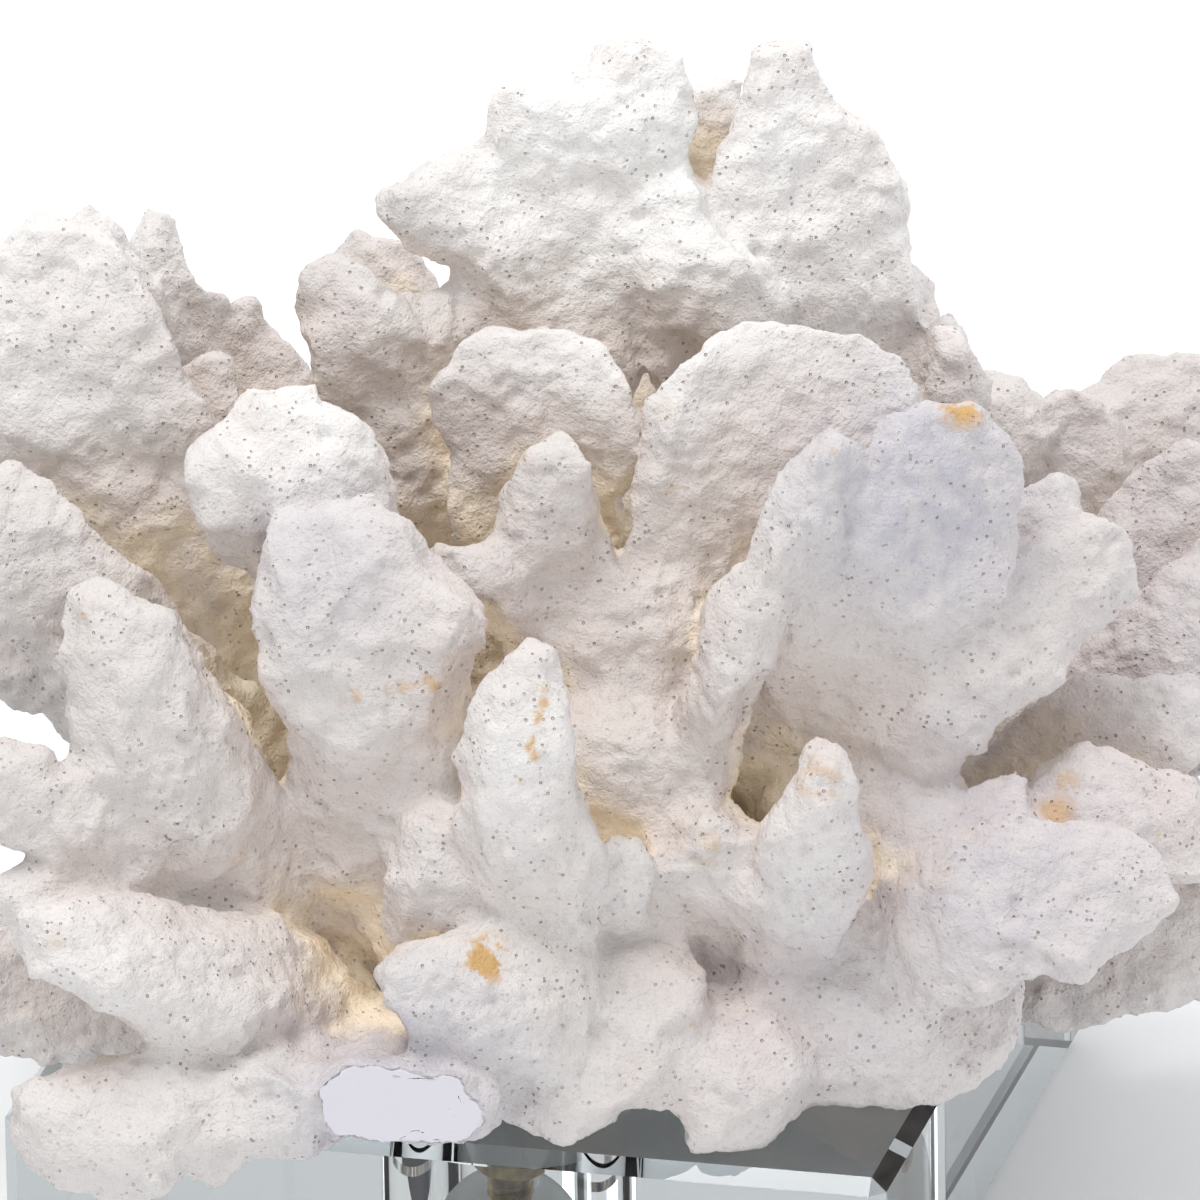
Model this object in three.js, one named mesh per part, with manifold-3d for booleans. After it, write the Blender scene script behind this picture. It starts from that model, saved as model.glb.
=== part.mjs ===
// A bleached white plate coral, mounted on a clear crystal block by a brass threaded rod.
// Millimetres, +Z up. The front of the block faces -Y, and the coral stands on its top face.

import * as THREE from 'three';
import { mergeVertices } from 'three/addons/utils/BufferGeometryUtils.js';
import Module from 'manifold-3d';

const wasm = await Module();
wasm.setup();

// --- Driving dimensions --------------------------------------------------------------------

const BLOCK_SIDE = 152;        // six inch square crystal block
const BLOCK_HEIGHT = 36;
const BLOCK_CHAMFER = 2.5;
const WELL_DIAMETER = 45;      // blind well cored up into the block from below
const WELL_DEPTH = 18.5;
const WELL_SIDES = 48;

const ROD_DIAMETER = 13;
const ROD_ABOVE_BLOCK = 26;    // how far the rod reaches up into the coral's foot
const ROD_BELOW_CEILING = 15;  // how far it hangs down into the well
const ROD_CLEARANCE = 0.4;     // all round, in the block and in the coral
const ROD_SIDES = 24;
const WASHER_DIAMETER = 28;
const WASHER_THICKNESS = 1.6;
const NUT_ACROSS_FLATS = 19;
const NUT_HEIGHT = 6;

const GAP = 0.3;               // left between pieces that touch
const BLADE_AROUND = 8;        // facets round a coral blade's section
const BLADE_ALONG = 5;         // bands from a blade's root to its tip
const BLADE_BLUNTNESS = 0.45;  // 1 is an ellipse from root to tip, less is squarer
const SECTION_BLUNTNESS = 0.75;

// The coral is laid out on the side it is shown from: a little round to the right of the block's
// front and from above, with level lines leant slightly.
const SHOW_TURN = THREE.MathUtils.degToRad(14.3);
const SHOW_RISE = THREE.MathUtils.degToRad(21.4);
const SHOW_LEAN = THREE.MathUtils.degToRad(0.9);

// --- Solids --------------------------------------------------------------------------------

function toSolid(geometry) {
  const bare = new THREE.BufferGeometry();
  bare.setAttribute('position', geometry.getAttribute('position').clone());
  if (geometry.index) bare.setIndex(geometry.index.clone());
  const merged = mergeVertices(bare, 1e-4);
  return new wasm.Manifold(new wasm.Mesh({
    numProp: 3,
    vertProperties: new Float32Array(merged.getAttribute('position').array),
    triVerts: new Uint32Array(merged.index.array),
  }));
}

function toGeometry(solid) {
  const mesh = solid.getMesh();
  const geometry = new THREE.BufferGeometry();
  const corners = new THREE.BufferAttribute(new Float32Array(mesh.vertProperties), 3);
  geometry.setAttribute('position', corners);
  geometry.setIndex(new THREE.BufferAttribute(new Uint32Array(mesh.triVerts), 1));
  geometry.computeVertexNormals();
  return geometry;
}

function upright(radius, bottom, top, sides) {
  const geometry = new THREE.CylinderGeometry(radius, radius, top - bottom, sides);
  geometry.rotateX(Math.PI / 2);
  geometry.translate(0, 0, (top + bottom) / 2);
  return geometry;
}

// A place on the coral: how far right and how far up it shows from the show side, and how far
// out it stands from the upright plane through the middle of the block, towards the viewer.
const right = new THREE.Vector3(Math.cos(SHOW_TURN), Math.sin(SHOW_TURN), 0);
const out = new THREE.Vector3(Math.sin(SHOW_TURN), -Math.cos(SHOW_TURN), 0);

function spot(x, y, outward) {
  const level = x * Math.cos(SHOW_LEAN) + y * Math.sin(SHOW_LEAN);
  const raised = y * Math.cos(SHOW_LEAN) - x * Math.sin(SHOW_LEAN);
  const height = (raised + outward * Math.sin(SHOW_RISE)) / Math.cos(SHOW_RISE);
  return new THREE.Vector3(0, 0, BLOCK_HEIGHT + height)
    .addScaledVector(right, level)
    .addScaledVector(out, outward);
}

function direction(x, y, outward) {
  return new THREE.Vector3(0, 0, y)
    .addScaledVector(right, x)
    .addScaledVector(out, outward)
    .normalize();
}

// One blade of coral: a flattened, round-ended tongue swept from its root to its tip. Each
// stop on the way is [x, y, out, half width]. face is the way its flat side looks, thick is
// its full thickness, cup is how far its side edges curl forward.
function blade(stops, thick, face = [0, 0.2, 1], cup = 0) {
  return { stops, thick, face, cup };
}

function bladeSolid({ stops, thick, face, cup }, grow = 0) {
  const places = stops.map(([x, y, outward]) => spot(x, y, outward));
  const halfWidths = stops.map(([, , , width], i) => new THREE.Vector3(i, width, 0));
  const spine = new THREE.CatmullRomCurve3(places, false, 'catmullrom', 0.5);
  const widths = new THREE.CatmullRomCurve3(halfWidths, false, 'catmullrom', 0.5);
  const facing = direction(...face);
  const geometry = new THREE.SphereGeometry(1, BLADE_AROUND, BLADE_ALONG);
  const position = geometry.getAttribute('position');
  const point = new THREE.Vector3();

  for (let i = 0; i < position.count; i++) {
    point.fromBufferAttribute(position, i);
    const along = THREE.MathUtils.clamp((1 + point.y) / 2, 0, 1);
    const ring = Math.hypot(point.x, point.z);
    const fullness = Math.pow(Math.min(ring, 1), BLADE_BLUNTNESS);
    const tangent = spine.getTangent(along);
    const side = new THREE.Vector3().crossVectors(tangent, facing).normalize();
    const front = new THREE.Vector3().crossVectors(side, tangent);
    const acrossUnit = ring > 1e-6 ? point.x / ring : 0;
    const frontUnit = ring > 1e-6 ? point.z / ring : 0;
    const across = Math.sign(acrossUnit) * Math.pow(Math.abs(acrossUnit), SECTION_BLUNTNESS);
    const forward = Math.sign(frontUnit) * Math.pow(Math.abs(frontUnit), SECTION_BLUNTNESS);
    const halfWidth = widths.getPoint(along).y * fullness + grow;
    const halfThick = thick / 2 * fullness + grow;
    const poleReach = ring > 1e-6 ? 0 : grow * Math.sign(point.y);
    const curl = cup * across * across * fullness;
    const place = spine.getPoint(along)
      .addScaledVector(side, across * (ring > 1e-6 ? halfWidth : 0))
      .addScaledVector(front, forward * (ring > 1e-6 ? halfThick : 0) + curl)
      .addScaledVector(tangent, poleReach);
    position.setXYZ(i, place.x, place.y, place.z);
  }
  return toSolid(geometry);
}

// --- The coral, one list of blades for each branch from a main fork, inner ones first ---------

const forks = {
  trunk: [
    blade([[0, -12, 0, 27], [0, 6, 2, 30], [0, 24, 2, 26]], 50),
    blade([[0, 4, 0, 28], [2, 34, 2, 30], [4, 66, 2, 28], [6, 96, 2, 18]], 40),
    blade([[-4, 8, 12, 16], [-24, 20, 26, 17], [-48, 34, 28, 13]], 26),
    blade([[8, 10, 10, 16], [36, 26, 22, 17], [62, 36, 24, 13]], 26),
  ],
  crest_left: [
    blade([[-2, 80, 8, 16], [0, 112, 7, 19], [8, 135, 5, 19], [17, 158, 3, 11]], 10),
    blade([[4, 118, 7, 14], [-12, 128, 7, 10], [-28, 133.5, 8, 5.5]], 10),
    blade([[2, 126, 6, 10], [0, 142, 5, 9.5], [-2, 151, 5, 8]], 10),
    blade([[24, 96, 2, 9], [22, 115, 8, 8], [25, 134, 11, 4.5]], 8, [1, 0.2, 1]),
  ],
  crest_right: [
    blade([[36, 80, 2, 18], [44, 112, 3, 20], [42, 134, 2, 15], [36.5, 158, 0, 9]], 11,
      [0.2, 0.2, 1]),
    blade([[42, 116, 2, 12], [50, 130, 1, 9], [58, 136, 0, 4.5]], 10),
    blade([[45, 96, 0, 14], [56, 110, -2, 10], [64, 117, -3, 5]], 10),
    blade([[36, 104, 10, 9], [29, 115, 14, 8], [27, 126, 14, 5]], 9),
  ],
  crest_back: [
    blade([[26, 100, -6, 9], [27, 132, -8, 7], [28, 152, -8, 6]], 9),
  ],
  shoulder_right: [
    blade([[48, 66, 0, 16], [62, 84, -4, 13], [74, 92, -7, 11], [84, 91, -8, 6]], 11, [0.2, 0.4, 1]),
    blade([[56, 76, 4, 10], [66, 94, 5, 8], [68, 109, 5, 5.5]], 10, [0.4, 0.2, 1]),
    blade([[58, 88, -10, 7], [66, 106, -14, 5], [67, 114, -15, 4]], 8),
  ],
  shoulder_left: [
    blade([[-12, 66, 8, 14], [-24, 90, 12, 14], [-33, 110, 14, 11], [-37, 121, 12, 7]], 10,
      [-0.2, 0.2, 1]),
    blade([[-10, 84, 8, 12], [-20, 104, 10, 10], [-24, 116, 8, 8]], 10),
  ],
  shoulder_left_back: [
    blade([[-14, 84, -2, 12], [-26, 110, -5, 10], [-32, 126, -7, 5]], 9),
  ],
  left_fingers: [
    blade([[-34, 44, -2, 16], [-54, 78, -5, 12], [-62, 104, -7, 9], [-66, 129.5, -8, 5]], 12, [0.5, 0, 1]),
    blade([[-30, 62, -10, 12], [-46, 92, -12, 9], [-53, 114.5, -14, 5]], 10, [0.4, 0, 1]),
    blade([[-46, 58, 4, 12], [-55, 84, 8, 9], [-57, 106, 6, 6]], 12, [0.3, 0, 1]),
  ],
  left_fan: [
    blade([[-44, 34, 18, 16], [-66, 72, 24, 19], [-79, 102, 24, 21], [-82, 128, 20, 16]], 11, [-0.2, 0.1, 1], 3),
    blade([[-66, 62, 14, 14], [-92, 92, 12, 13], [-107, 113, 8, 8]], 10, [-0.5, 0.1, 1]),
  ],
  left_fan_back: [
    blade([[-62, 72, 4, 14], [-74, 104, 3, 11], [-79, 130, 2, 7]], 9),
  ],
  left_arm: [
    blade([[-54, 40, 6, 14], [-86, 58, 4, 15], [-108, 74, 0, 13], [-122, 84, -4, 8]], 11, [-0.2, 0.4, 1]),
  ],
  centre_plate_left: [
    blade([[0, 54, 22, 14], [-2, 82, 28, 17], [0, 98, 30, 20], [4, 109, 28, 16]], 9, [-0.1, 0.3, 1], 3),
  ],
  centre_plates: [
    blade([[24, 36, 32, 14], [32, 66, 40, 20], [40, 90, 42, 25], [42, 110, 36, 21]], 10, [0, 0.3, 1], 3),
    blade([[6, 28, 40, 16], [10, 52, 48, 18], [12, 70, 46, 14]], 13, [0, 0.4, 1]),
    blade([[3, 48, 40, 12], [1, 70, 47, 10], [1, 90, 51, 8.5]], 11),
    blade([[6, 60, 44, 9], [-8, 67, 50, 7.5], [-21, 70, 54, 5]], 11, [0, 0.6, 1]),
  ],
  left_knob: [
    blade([[-14, -4, 34, 14], [-26, 20, 54, 17], [-27, 42, 62, 16], [-32, 62, 66, 19], [-37, 80, 62, 14]], 20,
      [-0.1, 0, 1]),
    blade([[-34, 54, 60, 12], [-22, 59, 68, 11], [-11, 62, 70, 7]], 16),
  ],
  left_upper_knob: [
    blade([[-20, 34, 34, 13], [-34, 64, 44, 14], [-41, 84, 48, 15], [-45, 99, 46, 9]], 15, [-0.2, 0.3, 1]),
    blade([[-38, 74, 48, 10], [-49, 83, 52, 9], [-58, 88, 52, 6]], 14, [-0.2, 0.2, 1]),
  ],
  left_plate: [
    blade([[-34, 24, 30, 12], [-56, 41, 40, 12], [-74, 58, 44, 13], [-92, 76, 44, 12], [-101, 84, 42, 8]], 11,
      [-0.1, 0.3, 1]),
  ],
  left_lobes: [
    blade([[-42, 6, 50, 13], [-57, 28, 64, 13], [-67, 46, 70, 13], [-75, 66, 68, 8]], 19, [0.4, 0.1, 1]),
    blade([[-56, 4, 56, 10], [-72, 19, 72, 9], [-84, 30, 78, 8], [-91, 39, 80, 5]], 13, [0, 0.4, 1]),
    blade([[-56, 2, 60, 9], [-74, 11, 76, 8], [-92, 17, 82, 5]], 13, [0, 0.8, 1]),
    blade([[-30, -6, 52, 13], [-50, 1, 78, 12], [-70, 5, 90, 11], [-87, 10, 92, 7]], 16, [0, 1, 1]),
  ],
  left_low_back: [
    blade([[-36, 4, 18, 14], [-68, 0, 42, 14], [-92, 1, 52, 13], [-102, 4, 52, 9]], 12, [-0.2, 0.5, 1]),
  ],
  low_left_lobes: [
    blade([[-30, -14, 66, 11], [-56, -19, 90, 12], [-75, -23, 96, 12], [-90, -22, 95, 9]], 16, [0, 1, 1]),
    blade([[-52, -18, 86, 9], [-61, -29, 97, 7]], 14, [0, 0.5, 1]),
    blade([[-26, -8, 58, 12], [-42, -17, 84, 13], [-48.5, -21, 99, 12]], 20, [0, 1, 0.3]),
    blade([[-12, -2, 48, 13], [-20, -13, 76, 15], [-24, -18.5, 93, 14]], 17, [0, 1, 0.4]),
  ],
  front_finger: [
    blade([[-2, -6, 48, 18], [-4, 16, 76, 14], [-5, 36, 84, 11], [-2, 56.5, 86, 6]], 17, [-0.3, 0.2, 1]),
    blade([[-16, 0, 54, 14], [-18, 18, 72, 10], [-18, 30, 72, 6]], 18),
  ],
  front_lobe: [
    blade([[14, -4, 58, 14], [2, -2, 80, 14], [-14, 0, 88, 12], [-28, 4, 90, 8]], 16, [0, 0.5, 1]),
    blade([[6, 4, 60, 15], [4, -9, 80, 16], [-2, -24, 82, 12]], 16, [0, 0.5, 1]),
    blade([[14, 4, 62, 10], [15, -6, 80, 11], [15, -21, 82, 9]], 16, [0, 0.5, 1]),
  ],
  right_plates: [
    blade([[28, 18, 36, 16], [50, 46, 54, 18], [68, 58, 58, 18], [88, 58, 56, 13]], 12, [0.1, 0.3, 1], 2),
    blade([[42, 34, 48, 14], [56, 64, 62, 16], [64, 82, 64, 16], [68, 96.5, 60, 11]], 11, [0.2, 0.2, 1], 2),
    blade([[22, 24, 52, 9], [30, 54, 66, 7], [41, 76, 70, 6], [49, 92, 69, 5.5]], 13, [-0.8, 0.2, 0.6]),
    blade([[62, 48, 44, 12], [78, 62, 50, 12], [88, 68, 52, 11], [97, 66, 50, 6.5]], 12, [0.2, 0.4, 1]),
    blade([[70, 58, 44, 10], [80, 72, 47, 9], [87, 84, 45, 5]], 11, [0.2, 0.3, 1]),
  ],
  right_fan: [
    blade([[50, 24, -8, 16], [80, 56, -13, 21], [101, 83, -17, 22], [116, 105, -22, 15]], 12,
      [-0.2, 0.2, 1], 2),
    blade([[76, 60, -8, 13], [87, 86, -12, 10], [88, 101, -14, 6]], 10),
    blade([[84, 36, -8, 15], [116, 52, -10, 15], [138, 62, -12, 11], [149, 66, -14, 7]], 12, [0, 0.5, 1]),
  ],
  right_inner_fan: [
    blade([[66, 26, 6, 14], [96, 60, 8, 14], [113, 90, 4, 11]], 11, [-0.3, 0.2, 1]),
  ],
  right_leaf: [
    blade([[56, 16, 26, 13], [82, 32, 38, 14], [100, 42, 42, 12], [113, 40, 40, 8]], 12, [0.1, 0.6, 1]),
  ],
  right_outer_leaf: [
    blade([[62, 22, 16, 13], [96, 47, 24, 13], [113, 65, 25, 11], [122, 74, 22, 6.5]], 12, [-0.2, 0.4, 1]),
  ],
  right_tongue: [
    blade([[44, 2, 52, 15], [68, 11, 76, 15], [88, 15, 80, 14], [103, 17, 76, 9]], 13, [0.1, 0.6, 1]),
  ],
  right_upper_tongue: [
    blade([[50, 8, 44, 12], [85, 24, 64, 14], [100, 27, 62, 12], [111, 22, 58, 8]], 10, [0.2, 0.8, 1]),
  ],
  low_right_plate: [
    blade([[14, 8, 34, 16], [36, 0, 62, 18], [58, -3, 68, 18], [78, 4, 52, 12]], 15, [0, 0.5, 1]),
    blade([[38, 2, 62, 12], [43, 20, 77, 10], [46, 40, 84, 7.5]], 15),
    blade([[22, 4, 56, 14], [26, 18, 66, 13], [30, 30, 67, 9]], 13, [0, 0.5, 1]),
    blade([[26, 0, 50, 12], [31, -12, 76, 13], [32, -27, 84, 11]], 16, [0, 0.5, 1]),
    blade([[18, -2, 58, 8], [14, 14, 72, 6.5], [11, 25, 77, 5]], 10),
  ],
  right_shelf: [
    blade([[30, 4, -2, 14], [70, 4, 20, 15], [100, 8, 30, 14], [127, 12, 26, 9]], 13, [0.1, 0.6, 1]),
  ],
  right_back_shelf: [
    blade([[30, 8, -10, 13], [84, 22, -20, 14], [112, 34, -26, 9]], 12, [0, 1, 0.4]),
  ],
  back_left_fan: [
    blade([[-6, 30, -16, 17], [-34, 58, -36, 18], [-52, 80, -50, 15], [-58, 94, -56, 9]], 12,
      [-0.5, 0.2, -1]),
  ],
  back_left_arm: [
    blade([[-20, 20, -10, 15], [-58, 38, -24, 16], [-88, 58, -32, 14], [-104, 74, -34, 9]], 12,
      [0, 0.6, -1]),
  ],
  back_left_tongue: [
    blade([[-8, 16, -20, 14], [-34, 32, -50, 15], [-50, 44, -72, 10]], 12, [-0.3, 1, -0.5]),
  ],
  back_crest: [
    blade([[2, 50, -12, 19], [6, 86, -28, 20], [10, 118, -34, 13]], 13, [0, 0.2, -1]),
  ],
  back_leaf: [
    blade([[4, 26, -20, 16], [12, 50, -52, 16], [16, 66, -74, 11]], 13, [0, 1, -0.4]),
  ],
  back_tongue: [
    blade([[0, 16, -24, 15], [-6, 34, -62, 14], [-8, 44, -86, 9]], 13, [0, 1, -0.3]),
  ],
  back_right_fans: [
    blade([[12, 40, -16, 17], [38, 66, -36, 17], [54, 92, -46, 12]], 12, [0.5, 0.2, -1]),
    blade([[18, 20, -12, 15], [52, 42, -34, 15], [80, 64, -50, 12], [92, 78, -56, 8]], 12, [0.2, 0.6, -1]),
    blade([[10, 18, -22, 14], [36, 34, -54, 14], [54, 46, -76, 10]], 12, [0.3, 1, -0.5]),
  ],
};

// --- The stand ---------------------------------------------------------------------------------

function blockGeometry() {
  const half = BLOCK_SIDE / 2 - BLOCK_CHAMFER;
  const cut = half - BLOCK_CHAMFER * Math.SQRT1_2;
  const outline = new THREE.Shape([
    new THREE.Vector2(half, -cut), new THREE.Vector2(half, cut),
    new THREE.Vector2(cut, half), new THREE.Vector2(-cut, half),
    new THREE.Vector2(-half, cut), new THREE.Vector2(-half, -cut),
    new THREE.Vector2(-cut, -half), new THREE.Vector2(cut, -half),
  ]);
  const geometry = new THREE.ExtrudeGeometry(outline, {
    depth: BLOCK_HEIGHT - 2 * BLOCK_CHAMFER,
    bevelEnabled: true,
    bevelThickness: BLOCK_CHAMFER,
    bevelSize: BLOCK_CHAMFER,
    bevelSegments: 1,
    steps: 1,
  });
  geometry.translate(0, 0, BLOCK_CHAMFER);
  return geometry;
}

function nutGeometry(bottom, top) {
  const corner = NUT_ACROSS_FLATS / Math.sqrt(3);
  return upright(corner, bottom, top, 6);
}

const boreRadius = ROD_DIAMETER / 2 + ROD_CLEARANCE;
const rodBottom = WELL_DEPTH - ROD_BELOW_CEILING;
const rodTop = BLOCK_HEIGHT + ROD_ABOVE_BLOCK;
const washerTop = WELL_DEPTH - GAP;
const washerBottom = washerTop - WASHER_THICKNESS;
const nutTop = washerBottom - GAP;
const PAST = 1;                // cutters run this far past what they cut

const rodBore = toSolid(upright(boreRadius, -PAST, rodTop + GAP, ROD_SIDES));
const well = toSolid(upright(WELL_DIAMETER / 2, -PAST, WELL_DEPTH, WELL_SIDES));
const blockSolid = toSolid(blockGeometry()).subtract(well).subtract(rodBore);
const rodSolid = toSolid(upright(ROD_DIAMETER / 2, rodBottom, rodTop, ROD_SIDES));
const washerBlank = upright(WASHER_DIAMETER / 2, washerBottom, washerTop, ROD_SIDES);
const washerSolid = toSolid(washerBlank).subtract(rodBore);
const nutSolid = toSolid(nutGeometry(nutTop - NUT_HEIGHT, nutTop)).subtract(rodBore);

// The ground that the coral grew on is sawn off flat, just clear of the block's top face.
function belowBlockTop() {
  const side = BLOCK_SIDE + 2 * GAP;
  const geometry = new THREE.BoxGeometry(side, side, 3 * BLOCK_HEIGHT);
  geometry.translate(0, 0, BLOCK_HEIGHT + GAP - 1.5 * BLOCK_HEIGHT);
  return toSolid(geometry);
}

// --- Putting it together ---------------------------------------------------------------------------

// Each branch fits round the ones before it, and the crumbs that they cut off it are dropped.
function largestBody(solid) {
  return solid.decompose().reduce((best, body) => (body.volume() > best.volume() ? body : best));
}

const coralSolids = {};
let taken = belowBlockTop().add(rodBore);
for (const [name, blades] of Object.entries(forks)) {
  const branch = blades.map((shape) => bladeSolid(shape)).reduce((whole, part) => whole.add(part));
  const room = blades.map((shape) => bladeSolid(shape, GAP)).reduce((whole, part) => whole.add(part));
  coralSolids[name] = largestBody(branch.subtract(taken));
  taken = taken.add(room);
}

const coralMaterial = { color: 0xebe6e2, roughness: 0.92, metalness: 0 };
const crystalMaterial = {
  color: 0xdfeae8,
  roughness: 0.03,
  metalness: 0,
  transparent: true,
  opacity: 0.35,
};
const brassMaterial = { color: 0x8a7340, roughness: 0.4, metalness: 1 };

const piece = (name, solid, look) => {
  const mesh = new THREE.Mesh(toGeometry(solid), new THREE.MeshStandardMaterial(look));
  mesh.name = name;
  return mesh;
};

const coralOnStand = new THREE.Group();
coralOnStand.add(piece('crystal_block', blockSolid, crystalMaterial));
coralOnStand.add(piece('threaded_rod', rodSolid, brassMaterial));
coralOnStand.add(piece('washer', washerSolid, brassMaterial));
coralOnStand.add(piece('hex_nut', nutSolid, brassMaterial));
for (const [name, solid] of Object.entries(coralSolids)) {
  coralOnStand.add(piece(`coral_${name}`, solid, coralMaterial));
}

// The origin is the middle of the footprint that the whole object covers, on the surface.
const extent = new THREE.Box3().setFromObject(coralOnStand, true);
const middle = extent.getCenter(new THREE.Vector3());
coralOnStand.position.set(-middle.x, -middle.y, -extent.min.z);
coralOnStand.updateMatrixWorld(true);

export default coralOnStand;
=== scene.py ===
import math

import bmesh
import bpy
import numpy as np
from mathutils import Matrix, Vector
from mathutils.bvhtree import BVHTree


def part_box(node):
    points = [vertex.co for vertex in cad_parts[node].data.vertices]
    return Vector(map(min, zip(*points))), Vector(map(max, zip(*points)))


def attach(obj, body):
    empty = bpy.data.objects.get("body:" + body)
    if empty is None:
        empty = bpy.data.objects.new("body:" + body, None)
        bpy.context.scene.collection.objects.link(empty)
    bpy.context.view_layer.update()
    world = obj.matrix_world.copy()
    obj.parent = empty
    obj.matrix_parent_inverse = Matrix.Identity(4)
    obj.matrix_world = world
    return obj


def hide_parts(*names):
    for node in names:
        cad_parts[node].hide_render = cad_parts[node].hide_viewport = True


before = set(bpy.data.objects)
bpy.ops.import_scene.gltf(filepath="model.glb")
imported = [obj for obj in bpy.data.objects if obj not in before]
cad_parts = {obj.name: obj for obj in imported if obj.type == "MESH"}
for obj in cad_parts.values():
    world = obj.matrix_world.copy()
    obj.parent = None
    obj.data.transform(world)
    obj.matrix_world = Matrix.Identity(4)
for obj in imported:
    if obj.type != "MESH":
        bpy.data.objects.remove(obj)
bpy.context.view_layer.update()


# --- Studio ---------------------------------------------------
# The mounted coral stands on a broad white sweep, under one big soft light overhead and an even
# white room. It is shown from a little round to the right of the block's front.

block_low, block_high = (Vector(corner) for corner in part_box("crystal_block"))
block_middle = (block_low + block_high) / 2
block_top = Vector((block_middle.x, block_middle.y, block_high.z))

show_turn = math.radians(14.3)
show_rise = math.radians(21.4)
show_lean = math.radians(0.9)
level_right = Vector((math.cos(show_turn), math.sin(show_turn), 0))
level_out = Vector((math.sin(show_turn), -math.cos(show_turn), 0))
to_viewer = level_out * math.cos(show_rise) + Vector((0, 0, math.sin(show_rise)))
plain_up = to_viewer.cross(level_right)
show_right = level_right * math.cos(show_lean) - plain_up * math.sin(show_lean)
show_up = level_right * math.sin(show_lean) + plain_up * math.cos(show_lean)

camera_distance = 3.0
camera_aim = block_top + show_right * 0.0085 + show_up * 0.064
lens = bpy.data.cameras.new("show lens")
lens.lens = 527.4
lens.sensor_width = 36
lens.clip_end = 50
camera = bpy.data.objects.new("show camera", lens)
turned = Matrix((show_right, show_up, to_viewer)).transposed().to_4x4()
camera.matrix_world = Matrix.Translation(camera_aim + to_viewer * camera_distance) @ turned
bpy.context.collection.objects.link(camera)
bpy.context.scene.camera = camera
bpy.context.scene.view_settings.view_transform = "Standard"


def link(mesh, name):
    """An object of the mesh, in the scene."""
    piece = bpy.data.objects.new(name, mesh)
    bpy.context.collection.objects.link(piece)
    return piece


def principled(name, **values):
    """A new material, its node tree and its Principled BSDF with those sockets set."""
    material = bpy.data.materials.new(name)
    material.use_nodes = True
    shader = material.node_tree.nodes["Principled BSDF"]
    for socket, value in values.items():
        shader.inputs[socket.replace("_", " ")].default_value = value
    return material, material.node_tree, shader


def soft_light(name, place, aim, size, power, colour=(1, 1, 1)):
    """A square area light at a place, turned to the aim."""
    lamp = bpy.data.lights.new(name, "AREA")
    lamp.shape = "SQUARE"
    lamp.size = size
    lamp.energy = power
    lamp.color = colour
    holder = bpy.data.objects.new(name, lamp)
    holder.location = place
    holder.rotation_euler = (Vector(aim) - Vector(place)).to_track_quat("-Z", "Y").to_euler()
    bpy.context.collection.objects.link(holder)


floor_half = 12.0
floor_level = -0.0003
floor_mesh = bpy.data.meshes.new("white sweep")
floor_mesh.from_pydata(
    [(-floor_half, -floor_half, floor_level), (floor_half, -floor_half, floor_level),
     (floor_half, floor_half, floor_level), (-floor_half, floor_half, floor_level)],
    [], [(0, 1, 2, 3)])
floor_material = principled("white sweep paint", Base_Color=(0.925, 0.945, 0.965, 1),
                            Roughness=0.7)[0]
floor_mesh.materials.append(floor_material)
link(floor_mesh, "white sweep")

room = bpy.data.worlds.new("white room")
room.use_nodes = True
room_light = room.node_tree.nodes["Background"]
room_light.inputs["Color"].default_value = (1.0, 0.995, 0.985, 1)
room_light.inputs["Strength"].default_value = 0.77
bpy.context.scene.world = room

coral_heart = block_top + Vector((0, 0, 0.08))
soft_light("overhead light", coral_heart - level_right * 0.45 + level_out * 0.55
           + Vector((0, 0, 2.0)), coral_heart, 1.0, 27, (1.0, 0.99, 0.975))
soft_light("floor light", coral_heart + level_right * 1.7 - level_out * 0.7
           + Vector((0, 0, 1.0)), block_top + level_right * 0.2, 1.0, 9, (0.93, 0.96, 1.0))


# A low black card, out of sight on the left, gives the crystal its dark edge.
card_middle = block_middle - level_right * 0.26 + level_out * 0.02
card_reach = level_out * 0.16
card_rise = Vector((0, 0, 0.07))
card_mesh = bpy.data.meshes.new("black card")
card_mesh.from_pydata(
    [card_middle - card_reach - card_rise * 0.25, card_middle + card_reach - card_rise * 0.25,
     card_middle + card_reach + card_rise, card_middle - card_reach + card_rise],
    [], [(0, 1, 2, 3)])
card_material = principled("black card felt", Base_Color=(0.03, 0.03, 0.035, 1),
                           Roughness=0.9)[0]
card_mesh.materials.append(card_material)
card = link(card_mesh, "black card")
card.visible_camera = False


# --- Crystal block --------------------------------------------
# A six inch square slab of polished crystal with a flat ground chamfer on every edge. A blind
# well is cored into its underside for the nut, and the rod's hole is drilled on from there.

chamfer = 0.0025
well_radius = 0.0225
well_depth = 0.0185
rod_radius = 0.0065
rod_clearance = 0.0004
well_sides = 160

glass, glass_tree = principled("polished crystal", Base_Color=(0.985, 1.0, 0.995, 1),
                               Roughness=0.0, IOR=1.52, Transmission_Weight=1.0)[:2]
tint = glass_tree.nodes.new("ShaderNodeVolumeAbsorption")
tint.inputs["Color"].default_value = (0.45, 0.53, 0.58, 1)
tint.inputs["Density"].default_value = 4.4
glass_tree.links.new(tint.outputs["Volume"], glass_tree.nodes["Material Output"].inputs["Volume"])


def put(shape, name):
    """An object of the bmesh shape, which is used up."""
    mesh = bpy.data.meshes.new(name)
    shape.to_mesh(mesh)
    shape.free()
    return link(mesh, name)


def box_shape(size, middle):
    shape = bmesh.new()
    bmesh.ops.create_cube(shape, size=1)
    bmesh.ops.scale(shape, verts=shape.verts, vec=size)
    bmesh.ops.translate(shape, verts=shape.verts, vec=middle)
    return shape


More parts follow.
